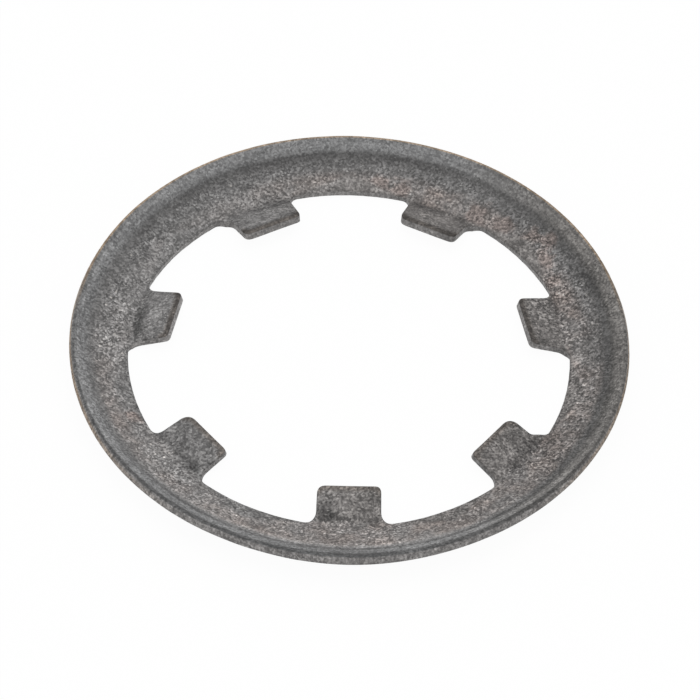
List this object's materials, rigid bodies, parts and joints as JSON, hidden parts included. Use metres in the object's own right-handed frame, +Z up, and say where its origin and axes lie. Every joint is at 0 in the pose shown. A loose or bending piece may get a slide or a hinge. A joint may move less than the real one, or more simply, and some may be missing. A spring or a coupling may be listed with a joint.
{
  "type": "push-on retaining ring",
  "caption": "Dished sheet-steel ring with upturned inward teeth that push onto a plain shaft and grip it without a groove.",
  "frame": {"origin": "on the ring's axis, in the plane that the ring rests on", "axes": "+Z up along the shaft's axis, towards the raised rim and tooth tips; the first tooth stands on the -Y side"},
  "size_m": [0.019, 0.019, 0.0011],
  "materials": {
    "phosphated_steel": "matt dark grey phosphate coat on spring steel, grainy on the web and smoother on the lip"
  },
  "bodies": {
    "root": {"retaining_ring": "phosphated_steel"}
  },
  "joints": []
}
